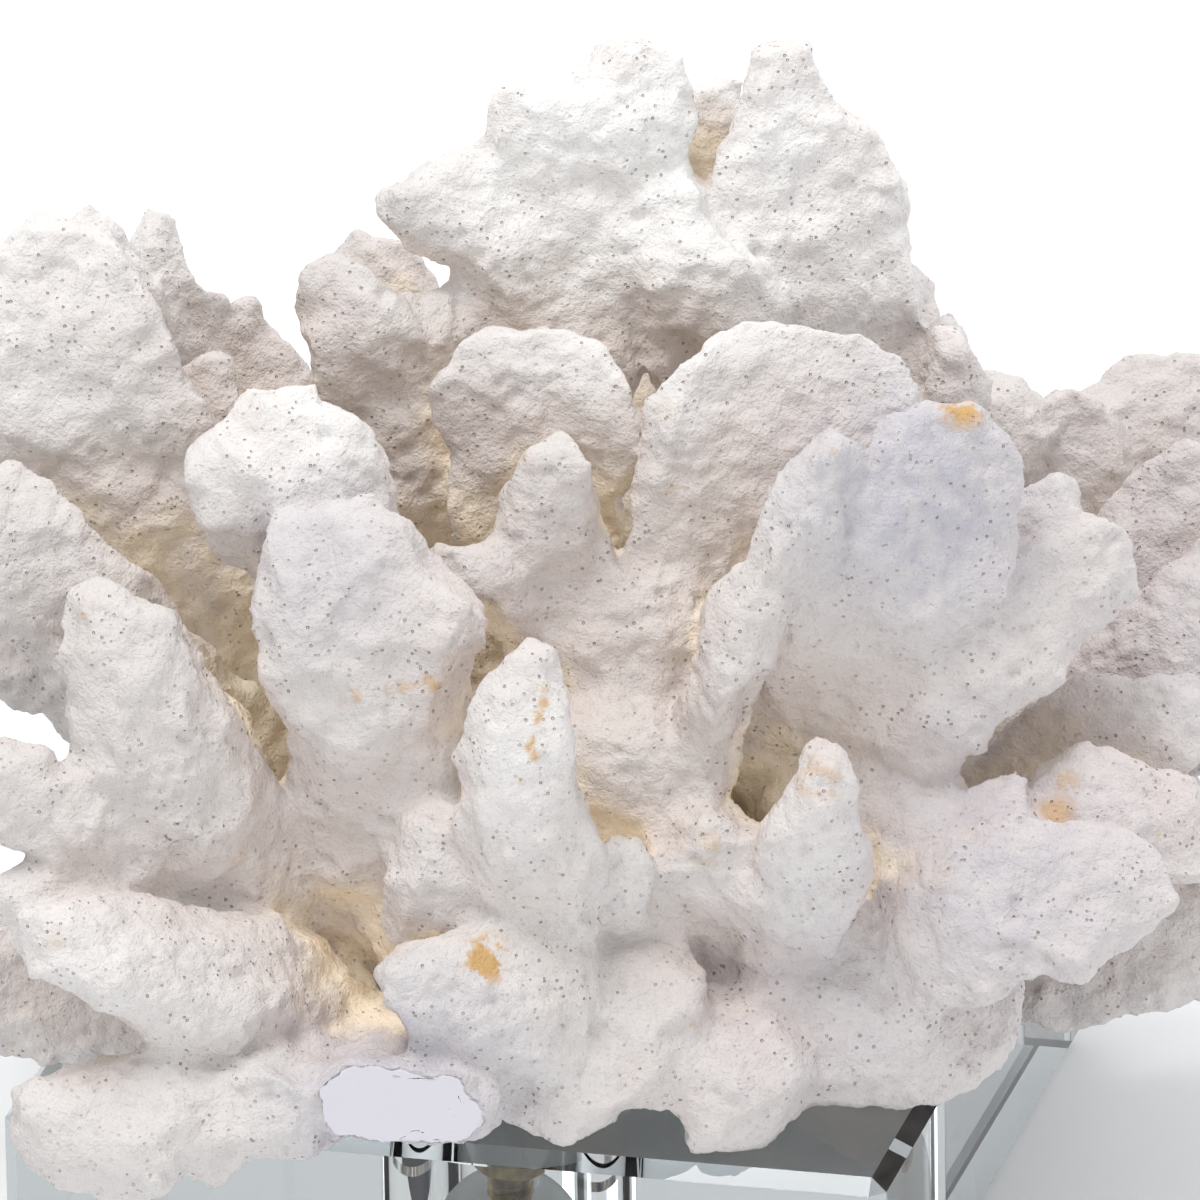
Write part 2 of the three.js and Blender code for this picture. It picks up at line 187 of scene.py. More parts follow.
def upright_rod(name, radius, bottom, top, sides):
    """A closed round bar on the block's middle axis."""
    shape = bmesh.new()
    bmesh.ops.create_cone(shape, cap_ends=True, segments=sides, radius1=radius, radius2=radius,
                          depth=top - bottom)
    bmesh.ops.translate(shape, verts=shape.verts,
                        vec=(block_middle.x, block_middle.y, (top + bottom) / 2))
    return put(shape, name)


def plain_mesh(piece, name):
    """What the piece looks like with its modifiers on, as a mesh of its own."""
    seen = piece.evaluated_get(bpy.context.evaluated_depsgraph_get())
    mesh = bpy.data.meshes.new_from_object(seen, preserve_all_data_layers=True,
                                           depsgraph=bpy.context.evaluated_depsgraph_get())
    mesh.name = name
    return mesh


def cut(piece, tool, operation="DIFFERENCE", solver="EXACT"):
    """Cuts the piece with the tool, or keeps only what is in both."""
    knife = piece.modifiers.new("knife", "BOOLEAN")
    knife.operation = operation
    knife.solver = solver
    knife.object = tool


def discard(*pieces):
    for piece in pieces:
        bpy.data.objects.remove(piece)


block_shape = box_shape(block_high - block_low, block_middle)
bmesh.ops.bevel(block_shape, geom=block_shape.edges[:], offset=chamfer, segments=1,
                affect="EDGES", profile=0.5)
blank = put(block_shape, "crystal blank")
well_tool = upright_rod("well drill", well_radius, -0.01, well_depth, well_sides)
rod_tool = upright_rod("rod drill", rod_radius + rod_clearance, 0.001, 0.06, 96)
cut(blank, well_tool)
cut(blank, rod_tool)
crystal = link(plain_mesh(blank, "crystal_block_polished"), "crystal_block_polished")
discard(blank, well_tool, rod_tool)
crystal.data.materials.clear()
crystal.data.materials.append(glass)
crystal.data.shade_smooth()
crystal.data.set_sharp_from_angle(angle=math.radians(25))
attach(crystal, "root")
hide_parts("crystal_block")


# --- Threaded rod ---------------------------------------------
# A length of aged brass studding that clamps the coral to the block. Its thread is rolled all
# the way along, and its lower end is sawn and slightly rounded over.

thread_pitch = 0.0013
thread_depth = 0.0007
rod_low, rod_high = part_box("threaded_rod")

brass, brass_tree, brass_shader = principled(
    "aged brass", Base_Color=(0.36, 0.27, 0.13, 1), Metallic=1.0, Roughness=0.42)
brass_spots = brass_tree.nodes.new("ShaderNodeTexNoise")
brass_spots.inputs["Scale"].default_value = 260
brass_spots.inputs["Detail"].default_value = 5
brass_place = brass_tree.nodes.new("ShaderNodeTexCoord")
brass_tree.links.new(brass_place.outputs["Object"], brass_spots.inputs["Vector"])
brass_ramp = brass_tree.nodes.new("ShaderNodeValToRGB")
brass_ramp.color_ramp.elements[0].position = 0.35
brass_ramp.color_ramp.elements[0].color = (0.20, 0.15, 0.08, 1)
brass_ramp.color_ramp.elements[1].position = 0.65
brass_ramp.color_ramp.elements[1].color = (0.50, 0.38, 0.19, 1)
brass_tree.links.new(brass_spots.outputs["Fac"], brass_ramp.inputs["Fac"])
brass_tree.links.new(brass_ramp.outputs["Color"], brass_shader.inputs["Base Color"])


def new_tree(name, **inputs):
    """A Geometry Nodes tree with a geometry input and output and those named inputs."""
    tree = bpy.data.node_groups.new(name, "GeometryNodeTree")
    tree.interface.new_socket("Geometry", in_out="INPUT", socket_type="NodeSocketGeometry")
    tree.interface.new_socket("Geometry", in_out="OUTPUT", socket_type="NodeSocketGeometry")
    for label, kind in inputs.items():
        tree.interface.new_socket(label.replace("_", " "), in_out="INPUT",
                                  socket_type="NodeSocket" + kind)
    return tree, tree.nodes.new("NodeGroupInput"), tree.nodes.new("NodeGroupOutput")


def node(tree, kind, links=(), **settings):
    """A node with its settings, and its inputs given as values or as other nodes' outputs."""
    made = tree.nodes.new(kind)
    for key, value in settings.items():
        setattr(made, key, value)
    for place, value in dict(links).items():
        if isinstance(value, bpy.types.NodeSocket):
            tree.links.new(value, made.inputs[place])
        else:
            made.inputs[place].default_value = value
    return made


def maths(tree, operation, first, second=0.0):
    return node(tree, "ShaderNodeMath", {0: first, 1: second}, operation=operation).outputs[0]


def vectors(tree, operation, first, second=(0, 0, 0), scale=None):
    links = {0: first, 1: second}
    if scale is not None:
        links["Scale"] = scale
    return node(tree, "ShaderNodeVectorMath", links, operation=operation).outputs[0]


def use_tree(piece, tree, values):
    """Puts the tree on the piece, with its named inputs set by their identifiers."""
    modifier = piece.modifiers.new(tree.name, "NODES")
    modifier.node_group = tree
    for item in tree.interface.items_tree:
        if item.item_type == "SOCKET" and item.in_out == "INPUT" and item.name in values:
            modifier[item.identifier] = values[item.name]


studding, given, result = new_tree("Brass studding", Radius="Float", Length="Float",
                                   Pitch="Float", Depth="Float", Base="Vector",
                                   Material="Material")
bar = node(studding, "GeometryNodeMeshCylinder", {
    "Vertices": 64, "Side Segments": 360, "Radius": given.outputs["Radius"],
    "Depth": given.outputs["Length"]}, fill_type="TRIANGLE_FAN")
place = node(studding, "GeometryNodeInputPosition").outputs[0]
split = node(studding, "ShaderNodeSeparateXYZ", {0: place})
angle = maths(studding, "ARCTAN2", split.outputs["Y"], split.outputs["X"])
turns = maths(studding, "DIVIDE", angle, math.tau)
climb = maths(studding, "DIVIDE", split.outputs["Z"], given.outputs["Pitch"])
groove = maths(studding, "PINGPONG", maths(studding, "SUBTRACT", climb, turns), 0.5)
inward = maths(studding, "MULTIPLY", maths(studding, "MULTIPLY", groove, 2.0),
               given.outputs["Depth"])
from_end = maths(studding, "SUBTRACT", maths(studding, "DIVIDE", given.outputs["Length"], 2.0),
                 maths(studding, "ABSOLUTE", split.outputs["Z"]))
rounding = maths(studding, "MAXIMUM", maths(studding, "SUBTRACT", 0.0012, from_end), 0.0)
drawn_in = maths(studding, "ADD", inward, rounding)
flat_place = vectors(studding, "MULTIPLY", place, (1, 1, 0))
outward = vectors(studding, "NORMALIZE", flat_place)
shift = vectors(studding, "SCALE", outward, scale=maths(studding, "MULTIPLY", drawn_in, -1.0))
threaded = node(studding, "GeometryNodeSetPosition", {
    "Geometry": bar.outputs["Mesh"], "Offset": shift})
seated = node(studding, "GeometryNodeSetPosition", {
    "Geometry": threaded.outputs[0], "Offset": given.outputs["Base"]})
solid = node(studding, "GeometryNodeRealizeInstances", {0: seated.outputs[0]})
finished = node(studding, "GeometryNodeSetMaterial", {
    "Geometry": solid.outputs[0], "Material": given.outputs["Material"]})
studding.links.new(finished.outputs[0], result.inputs[0])

rod_maker = link(bpy.data.meshes.new("rod maker"), "rod maker")
use_tree(rod_maker, studding, {
    "Radius": rod_radius, "Length": rod_high[2] - rod_low[2], "Pitch": thread_pitch,
    "Depth": thread_depth,
    "Base": (block_middle.x, block_middle.y, (rod_low[2] + rod_high[2]) / 2),
    "Material": brass})
rod = link(plain_mesh(rod_maker, "threaded_rod_rolled"), "threaded_rod_rolled")
discard(rod_maker)
rod.data.shade_smooth()
rod.data.set_sharp_from_angle(angle=math.radians(50))
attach(rod, "root")
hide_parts("threaded_rod")


# --- Washer and nut -------------------------------------------
# A turned brass washer and a chamfered hexagon nut, drawn up against the ceiling of the well on
# the rod's lower end.

def ring_mesh(name, profile, sides):
    """A closed ring about the rod: profile(angle) gives its section as (radius, height)s."""
    sections = [profile(math.tau * i / sides) for i in range(sides)]
    count = len(sections[0])
    points = []
    for i, section in enumerate(sections):
        turn = math.tau * i / sides
        for radius, height in section:
            points.append((block_middle.x + radius * math.cos(turn),
                           block_middle.y + radius * math.sin(turn), height))
    faces = []
    for i in range(sides):
        following = (i + 1) % sides
        for j in range(count):
            after = (j + 1) % count
            faces.append((i * count + j, following * count + j,
                          following * count + after, i * count + after))
    mesh = bpy.data.meshes.new(name)
    mesh.from_pydata(points, [], faces)
    mesh.materials.append(brass)
    mesh.shade_smooth()
    mesh.set_sharp_from_angle(angle=math.radians(35))
    return mesh


hole_radius = rod_radius + rod_clearance
washer_low, washer_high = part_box("washer")
washer_radius = (washer_high[0] - washer_low[0]) / 2
washer_edge = 0.00035


def washer_section(angle):
    low, high = washer_low[2], washer_high[2]
    return [(hole_radius, low + washer_edge), (hole_radius + washer_edge, low),
            (washer_radius - washer_edge, low), (washer_radius, low + washer_edge),
            (washer_radius, high - washer_edge), (washer_radius - washer_edge, high),
            (hole_radius + washer_edge, high), (hole_radius, high - washer_edge)]


nut_low, nut_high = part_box("hex_nut")
nut_across_flats = 0.019
nut_lead_in = 0.0006


def nut_section(angle):
    low, high = nut_low[2], nut_high[2]
    off_flat = (angle + math.pi / 6) % (math.pi / 3) - math.pi / 6
    reach = nut_across_flats / 2 / math.cos(off_flat)
    crown = nut_across_flats / 2 * 0.96
    drop = (reach - crown) * math.tan(math.radians(30))
    return [(hole_radius, low + nut_lead_in), (hole_radius + nut_lead_in, low),
            (crown, low), (reach, low + drop), (reach, high - drop), (crown, high),
            (hole_radius + nut_lead_in, high), (hole_radius, high - nut_lead_in)]


for name, section, cad_name in (("washer_turned", washer_section, "washer"),
                                ("hex_nut_chamfered", nut_section, "hex_nut")):
    ring = link(ring_mesh(name, section, 96), name)
    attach(ring, "root")
    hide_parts(cad_name)


# --- Coral ----------------------------------------------------
# One head of bleached plate coral, its thick rounded blades grown together at their feet. It is
# sawn off flat underneath, drilled for the rod, and sits straight on the crystal.

def spot(x, y, outward):
    """A place x mm right, y mm up and outward mm towards the viewer of the block's top centre,
    as the coral is shown."""
    level = x * math.cos(show_lean) + y * math.sin(show_lean)
    raised = y * math.cos(show_lean) - x * math.sin(show_lean)
    height = (raised + outward * math.sin(show_rise)) / math.cos(show_rise)
    return (np.array(block_top) + np.array(level_right) * level / 1000
            + np.array(level_out) * outward / 1000 + np.array((0, 0, height / 1000)))


def seen_from_front(points):
    """spot() the other way: each point's x, y and outward in mm."""
    offset = (points - np.array(block_top)) * 1000
    level = offset @ np.array(level_right)
    outward = offset @ np.array(level_out)
    raised = offset[:, 2] * math.cos(show_rise) - outward * math.sin(show_rise)
    return np.stack((level * math.cos(show_lean) - raised * math.sin(show_lean),
                     raised * math.cos(show_lean) + level * math.sin(show_lean), outward), 1)


def facing_way(x, y, outward):
    """A unit direction to the right, up and outward, as spot() has them."""
    way = (np.array(level_right) * x + np.array((0, 0, 1)) * y
           + np.array(level_out) * outward)
    return way / np.linalg.norm(way)


def along_curve(stops, t):
    """A smooth curve through the stops, at t from 0 to 1."""
    stops = np.asarray(stops, float)
    stops = np.vstack((2 * stops[0] - stops[1], stops, 2 * stops[-1] - stops[-2]))
    scaled = np.clip(t, 0, 1) * (len(stops) - 3)
    first = np.minimum(scaled.astype(int), len(stops) - 4)
    u = (scaled - first)[:, None]
    a, b, c, d = (stops[first + i] for i in range(4))
    leave, arrive = (c - a) / 2, (d - b) / 2
    return (b + leave * u + (-3 * b + 3 * c - 2 * leave - arrive) * u ** 2
            + (2 * b - 2 * c + leave + arrive) * u ** 3)


def blade(stops, thick, face=(0, 0.2, 1), cup=0):
    """A flattened, round-ended tongue from its root to its tip. Each stop is [x, y, outward,
    half width], face is the way its flat side looks and cup how far its edges curl forward."""
    return stops, thick, face, cup


def blade_shape(stops, thick, face, cup, grow=0.0, around=40, along=44, wavy=1.0):
    """The blade's points in metres and its faces. grow is in mm."""
    luck = np.random.default_rng(int(sum(abs(v) for stop in stops for v in stop) * 10))
    row = np.arange(1, along) / along
    polar = math.pi * (row - 0.6 * np.sin(math.tau * row) / math.tau)
    ring = np.sin(polar)
    t = (1 - np.cos(polar)) / 2
    centres = np.array([spot(*stop[:3]) for stop in stops])
    spine = along_curve(centres, t)
    tangent = along_curve(centres, t + 1e-3) - along_curve(centres, t - 1e-3)
    tangent /= np.linalg.norm(tangent, axis=1)[:, None]
    side = np.cross(tangent, facing_way(*face))
    side /= np.linalg.norm(side, axis=1)[:, None]
    front = np.cross(side, tangent)
    half_width = along_curve([[stop[3]] for stop in stops], t)[:, 0]
    fullness = ring ** 0.5
    length = np.linalg.norm(np.diff(centres, axis=0), axis=1).sum() * 1000

    angle = math.tau * np.arange(around) / around
    across = np.sign(np.sin(angle)) * np.abs(np.sin(angle)) ** 0.9
    forward = np.sign(np.cos(angle)) * np.abs(np.cos(angle)) ** 0.85
    scallop = np.zeros((along - 1, around))
    ripple = np.zeros((along - 1, around))
    for wave, share in ((31, 0.7), (17, 0.5)):
        for hand in (-1, 1):
            phase = luck.uniform(0, math.tau, 2)
            swing = math.tau * t * length / wave
            hand_side = (np.sign(across) == hand) * across ** 2
            scallop += share * np.sin(swing + phase[0])[:, None] * hand_side
            ripple += share * np.sin(swing * 0.7 + phase[1])[:, None] * hand_side
    reach = (half_width * fullness + grow)[:, None] + wavy * 1.5 * scallop * fullness[:, None]
    depth = (thick / 2 * fullness + grow)[:, None]
    curl = (cup * across ** 2 + wavy * 1.3 * ripple) * fullness[:, None]
    points = (spine[:, None] + side[:, None] * (across * reach)[..., None] / 1000
              + front[:, None] * (forward * depth + curl)[..., None] / 1000)
    ends = np.array((centres[0] - tangent[0] * grow / 1000,
                     centres[-1] + tangent[-1] * grow / 1000))
    points = np.vstack((points.reshape(-1, 3), ends))
    root, tip = len(points) - 2, len(points) - 1
    faces = []
    for j in range(around):
        after = (j + 1) % around
        faces.append((root, j, after))
        last = (along - 2) * around
        faces.append((tip, last + after, last + j))
        for i in range(along - 2):
            faces.append((i * around + j, (i + 1) * around + j,
                          (i + 1) * around + after, i * around + after))
    return points, faces



# The branches, each from a main fork, as lists of its blades, inner branches first.
branches = {
    "trunk": [
        blade([[0, -12, 0, 27], [0, 6, 2, 30], [0, 24, 2, 26]], 50),
        blade([[0, 4, 0, 28], [2, 34, 2, 30], [4, 66, 2, 28], [6, 96, 2, 18]], 40),
        blade([[-4, 8, 12, 16], [-24, 20, 26, 17], [-48, 34, 28, 13]], 26),
        blade([[8, 10, 10, 16], [36, 26, 22, 17], [62, 36, 24, 13]], 26)],
    "crest_left": [
        blade([[-2, 80, 8, 16], [0, 112, 7, 19], [8, 135, 5, 19], [17, 158, 3, 11]], 10),
        blade([[4, 118, 7, 14], [-12, 128, 7, 10], [-28, 133.5, 8, 5.5]], 10),
        blade([[2, 126, 6, 10], [0, 142, 5, 9.5], [-2, 151, 5, 8]], 10),
        blade([[24, 96, 2, 9], [22, 115, 8, 8], [25, 134, 11, 4.5]], 8, [1, 0.2, 1])],
    "crest_right": [
        blade([[36, 80, 2, 18], [44, 112, 3, 20], [42, 134, 2, 15], [36.5, 158, 0, 9]], 11,
              [0.2, 0.2, 1]),
        blade([[42, 116, 2, 12], [50, 130, 1, 9], [58, 136, 0, 4.5]], 10),
        blade([[45, 96, 0, 14], [56, 110, -2, 10], [64, 117, -3, 5]], 10),
        blade([[36, 104, 10, 9], [29, 115, 14, 8], [27, 126, 14, 5]], 9)],
    "crest_back": [
        blade([[26, 100, -6, 9], [27, 132, -8, 7], [28, 152, -8, 6]], 9)],
    "shoulder_right": [
        blade([[48, 66, 0, 16], [62, 84, -4, 13], [74, 92, -7, 11], [84, 91, -8, 6]],
              11, [0.2, 0.4, 1]),
        blade([[56, 76, 4, 10], [66, 94, 5, 8], [68, 109, 5, 5.5]], 10, [0.4, 0.2, 1]),
        blade([[58, 88, -10, 7], [66, 106, -14, 5], [67, 114, -15, 4]], 8)],
    "shoulder_left": [
        blade([[-12, 66, 8, 14], [-24, 90, 12, 14], [-33, 110, 14, 11], [-37, 121, 12, 7]], 10,
              [-0.2, 0.2, 1]),
        blade([[-10, 84, 8, 12], [-20, 104, 10, 10], [-24, 116, 8, 8]], 10)],
    "shoulder_left_back": [
        blade([[-14, 84, -2, 12], [-26, 110, -5, 10], [-32, 126, -7, 5]], 9)],
    "left_fingers": [
        blade([[-34, 44, -2, 16], [-54, 78, -5, 12], [-62, 104, -7, 9], [-66, 129.5, -8, 5]],
              12, [0.5, 0, 1]),
        blade([[-30, 62, -10, 12], [-46, 92, -12, 9], [-53, 114.5, -14, 5]], 10, [0.4, 0, 1]),
        blade([[-46, 58, 4, 12], [-55, 84, 8, 9], [-57, 106, 6, 6]], 12, [0.3, 0, 1])],
    "left_fan": [
        blade([[-44, 34, 18, 16], [-66, 72, 24, 19], [-79, 102, 24, 21], [-82, 128, 20, 16]],
              11, [-0.2, 0.1, 1], 3),
        blade([[-66, 62, 14, 14], [-92, 92, 12, 13], [-107, 113, 8, 8]], 10, [-0.5, 0.1, 1])],
    "left_fan_back": [
        blade([[-62, 72, 4, 14], [-74, 104, 3, 11], [-79, 130, 2, 7]], 9)],
    "left_arm": [
        blade([[-54, 40, 6, 14], [-86, 58, 4, 15], [-108, 74, 0, 13], [-122, 84, -4, 8]],
              11, [-0.2, 0.4, 1])],
    "centre_plate_left": [
        blade([[0, 54, 22, 14], [-2, 82, 28, 17], [0, 98, 30, 20], [4, 109, 28, 16]],
              9, [-0.1, 0.3, 1], 3)],
    "centre_plates": [
        blade([[-8, 8, 40, 16], [6, 28, 56, 17], [14, 46, 58, 12]], 14, [0, 0.2, 1]),
        blade([[34, 10, 44, 14], [52, 24, 58, 14], [68, 38, 56, 10]], 12, [0.1, 0.4, 1]),
        blade([[24, 36, 32, 14], [32, 66, 40, 20], [40, 90, 42, 25], [42, 110, 36, 21]],
              10, [0, 0.3, 1], 3),
        blade([[6, 28, 40, 16], [10, 52, 48, 18], [12, 70, 46, 14]], 13, [0, 0.4, 1]),
        blade([[3, 48, 40, 12], [1, 70, 47, 10], [1, 90, 51, 8.5]], 11),
        blade([[6, 60, 44, 9], [-8, 67, 50, 7.5], [-21, 70, 54, 5]], 11, [0, 0.6, 1])],
    "left_knob": [
        blade([[-14, -4, 34, 14], [-26, 20, 54, 17], [-27, 42, 62, 16], [-32, 62, 66, 19],
               [-37, 80, 62, 14]], 20,
              [-0.1, 0, 1]),
        blade([[-34, 54, 60, 12], [-22, 59, 68, 11], [-11, 62, 70, 7]], 16)],
    "left_upper_knob": [
        blade([[-20, 34, 34, 13], [-34, 64, 44, 14], [-41, 84, 48, 15], [-45, 99, 46, 9]],
              15, [-0.2, 0.3, 1]),
        blade([[-38, 74, 48, 10], [-49, 83, 52, 9], [-58, 88, 52, 6]], 14, [-0.2, 0.2, 1])],
    "left_plate": [
        blade([[-34, 24, 30, 12], [-56, 41, 40, 12], [-74, 58, 44, 13], [-92, 76, 44, 12],
               [-101, 84, 42, 8]], 11,
              [-0.1, 0.3, 1])],
    "left_lobes": [
        blade([[-42, 6, 50, 13], [-57, 28, 64, 13], [-67, 46, 70, 13], [-75, 66, 68, 8]],
              19, [0.4, 0.1, 1]),
        blade([[-56, 4, 56, 10], [-72, 19, 72, 9], [-84, 30, 78, 8], [-91, 39, 80, 5]],
              13, [0, 0.4, 1]),
        blade([[-56, 2, 60, 9], [-74, 11, 76, 8], [-92, 17, 82, 5]], 13, [0, 0.8, 1]),
        blade([[-30, -6, 52, 13], [-50, 1, 78, 12], [-70, 5, 90, 11], [-87, 10, 92, 7]],
              16, [0, 1, 1])],
    "left_low_back": [
        blade([[-36, 4, 18, 14], [-68, 0, 42, 14], [-92, 1, 52, 13], [-102, 4, 52, 9]],
              12, [-0.2, 0.5, 1])],
    "low_left_lobes": [
        blade([[-30, -14, 66, 11], [-56, -19, 90, 12], [-75, -23, 96, 12], [-90, -22, 95, 9]],
              16, [0, 1, 1]),
        blade([[-52, -18, 86, 9], [-61, -29, 97, 7]], 14, [0, 0.5, 1]),
        blade([[-26, -8, 58, 12], [-42, -17, 84, 13], [-48.5, -21, 99, 12]], 20, [0, 1, 0.3]),
        blade([[-12, -2, 48, 13], [-20, -13, 76, 15], [-24, -18, 94, 16], [-24, -19, 107, 16]], 16,
              [0, 1, 0.4])],
    "front_finger": [
        blade([[-2, -6, 48, 18], [-4, 16, 76, 14], [-5, 36, 84, 11], [-2, 56.5, 86, 6]],
              17, [-0.3, 0.2, 1]),
        blade([[-16, 0, 54, 14], [-18, 18, 72, 10], [-18, 30, 72, 6]], 18)],
    "front_lobe": [
        blade([[14, -4, 58, 14], [2, -2, 80, 14], [-14, 0, 88, 12], [-28, 4, 90, 8]],
              16, [0, 0.5, 1]),
        blade([[6, 4, 60, 15], [4, -9, 80, 16], [-2, -24, 82, 12]], 16, [0, 0.5, 1]),
        blade([[14, 4, 62, 10], [15, -6, 80, 11], [15, -21, 82, 9]], 16, [0, 0.5, 1])],
    "right_plates": [
        blade([[28, 18, 36, 16], [50, 46, 54, 18], [68, 58, 58, 18], [88, 58, 56, 13]],
              12, [0.1, 0.3, 1], 2),
        blade([[42, 34, 48, 14], [56, 64, 62, 16], [64, 82, 64, 16], [68, 96.5, 60, 11]],
              11, [0.2, 0.2, 1], 2),
        blade([[22, 24, 52, 9], [30, 54, 66, 7], [41, 76, 70, 6], [49, 92, 69, 5.5]],
              13, [-0.8, 0.2, 0.6]),
        blade([[62, 48, 44, 12], [78, 62, 50, 12], [88, 68, 52, 11], [97, 66, 50, 6.5]],
              12, [0.2, 0.4, 1]),
        blade([[70, 58, 44, 10], [80, 72, 47, 9], [87, 84, 45, 5]], 11, [0.2, 0.3, 1])],
    "right_fan": [
        blade([[50, 24, -8, 16], [80, 56, -13, 21], [101, 83, -17, 22], [116, 105, -22, 15]], 12,
              [-0.2, 0.2, 1], 2),
        blade([[76, 60, -8, 13], [87, 86, -12, 10], [88, 101, -14, 6]], 10),
        blade([[84, 36, -8, 15], [116, 52, -10, 15], [138, 62, -12, 11], [149, 66, -14, 7]],
              12, [0, 0.5, 1])],
    "right_inner_fan": [
        blade([[66, 26, 6, 14], [96, 60, 8, 14], [113, 90, 4, 11]], 11, [-0.3, 0.2, 1])],
    "right_leaf": [
        blade([[56, 16, 26, 13], [82, 32, 38, 14], [100, 42, 42, 12], [113, 40, 40, 8]],
              12, [0.1, 0.6, 1])],
    "right_outer_leaf": [
        blade([[62, 22, 16, 13], [96, 47, 24, 13], [113, 65, 25, 11], [122, 74, 22, 6.5]],
              12, [-0.2, 0.4, 1])],
    "right_tongue": [
        blade([[44, 2, 52, 15], [68, 11, 76, 15], [88, 15, 80, 14], [103, 17, 76, 9]],
              13, [0.1, 0.6, 1])],
    "right_upper_tongue": [
        blade([[40, 10, 50, 11], [62, 21, 65, 11], [82, 31, 67, 10]], 10, [0.1, 0.6, 1]),
        blade([[50, 8, 44, 12], [85, 24, 64, 14], [100, 27, 62, 12], [111, 22, 58, 8]],
              10, [0.2, 0.8, 1])],
    "low_right_plate": [
        blade([[14, 8, 34, 16], [36, 0, 62, 18], [58, -3, 68, 18], [78, 4, 52, 12]],
              15, [0, 0.5, 1]),
        blade([[38, 2, 62, 12], [43, 20, 77, 10], [46, 40, 84, 7.5]], 15),
        blade([[22, 4, 56, 14], [26, 18, 66, 13], [30, 30, 67, 9]], 13, [0, 0.5, 1]),
        blade([[26, 0, 50, 12], [31, -12, 76, 13], [32, -27, 84, 11]], 16, [0, 0.5, 1]),
        blade([[18, -2, 58, 8], [14, 14, 72, 6.5], [11, 25, 77, 5]], 10)],
    "right_shelf": [
        blade([[30, 4, -2, 14], [70, 4, 20, 15], [100, 8, 30, 14], [127, 12, 26, 9]],
              13, [0.1, 0.6, 1])],
    "right_back_shelf": [
        blade([[30, 8, -10, 13], [84, 22, -20, 14], [112, 34, -26, 9]], 12, [0, 1, 0.4])],
    "back_left_fan": [
        blade([[-6, 30, -16, 17], [-34, 58, -36, 18], [-52, 80, -50, 15], [-58, 94, -56, 9]], 12,
              [-0.5, 0.2, -1])],
    "back_left_arm": [
        blade([[-20, 20, -10, 15], [-58, 38, -24, 16], [-88, 58, -32, 14], [-104, 74, -34, 9]], 12,
              [0, 0.6, -1])],
    "back_left_tongue": [
        blade([[-8, 16, -20, 14], [-34, 32, -50, 15], [-50, 44, -72, 10]], 12, [-0.3, 1, -0.5])],
    "back_crest": [
        blade([[2, 50, -12, 19], [6, 86, -28, 20], [10, 118, -34, 13]], 13, [0, 0.2, -1])],
    "back_leaf": [
        blade([[4, 26, -20, 16], [12, 50, -52, 16], [16, 66, -74, 11]], 13, [0, 1, -0.4])],
    "back_tongue": [
        blade([[0, 16, -24, 15], [-6, 34, -62, 14], [-8, 44, -86, 9]], 13, [0, 1, -0.3])],
    "back_right_fans": [
        blade([[12, 40, -16, 17], [38, 66, -36, 17], [54, 92, -46, 12]], 12, [0.5, 0.2, -1]),
        blade([[18, 20, -12, 15], [52, 42, -34, 15], [80, 64, -50, 12], [92, 78, -56, 8]],
              12, [0.2, 0.6, -1]),
        blade([[10, 18, -22, 14], [36, 34, -54, 14], [54, 46, -76, 10]], 12, [0.3, 1, -0.5])],
}

# The branches that come apart as pieces, with the forks that each takes in. The trunk is left.
parted = {
    "front_lobes": ("front_finger", "front_lobe"),
    "left_knobs": ("left_knob", "left_upper_knob"),
    "left_lobes": ("left_lobes", "left_low_back", "low_left_lobes"),
    "low_right_plate": ("low_right_plate",),
    "right_leaves": ("right_leaf", "right_tongue", "right_upper_tongue"),
    "right_plates": ("right_plates",),
    "centre_plates": ("centre_plate_left", "centre_plates"),
    "left_fans": ("left_fingers", "left_fan", "left_fan_back", "left_arm", "left_plate"),
    "crest": ("crest_left", "crest_right", "crest_back"),
    "shoulders": ("shoulder_right", "shoulder_left", "shoulder_left_back"),
    "right_fans": ("right_fan", "right_inner_fan", "right_outer_leaf", "right_shelf",
                   "right_back_shelf"),
    "back_left": ("back_left_fan", "back_left_arm", "back_left_tongue"),
    "back_middle": ("back_crest", "back_leaf", "back_tongue"),
    "back_right": ("back_right_fans",),
}

# Each sawn end as (centre, way the face looks, half its width), in mm.
sawn_ends = (((-24, -19, 101.5), (0.05, 0.1, 1), 15),)


def streak(start, end, radius, strength, count=12):
    """A row of marks that run into one line."""
    luck = np.random.default_rng(int(abs(start[0]) * 10 + abs(end[1])))
    places = np.linspace(start, end, count) + luck.normal(0, 0.7, (count, 3)) * (1, 1, 0)
    return tuple((*place, radius * luck.uniform(0.5, 1.1), strength) for place in places)


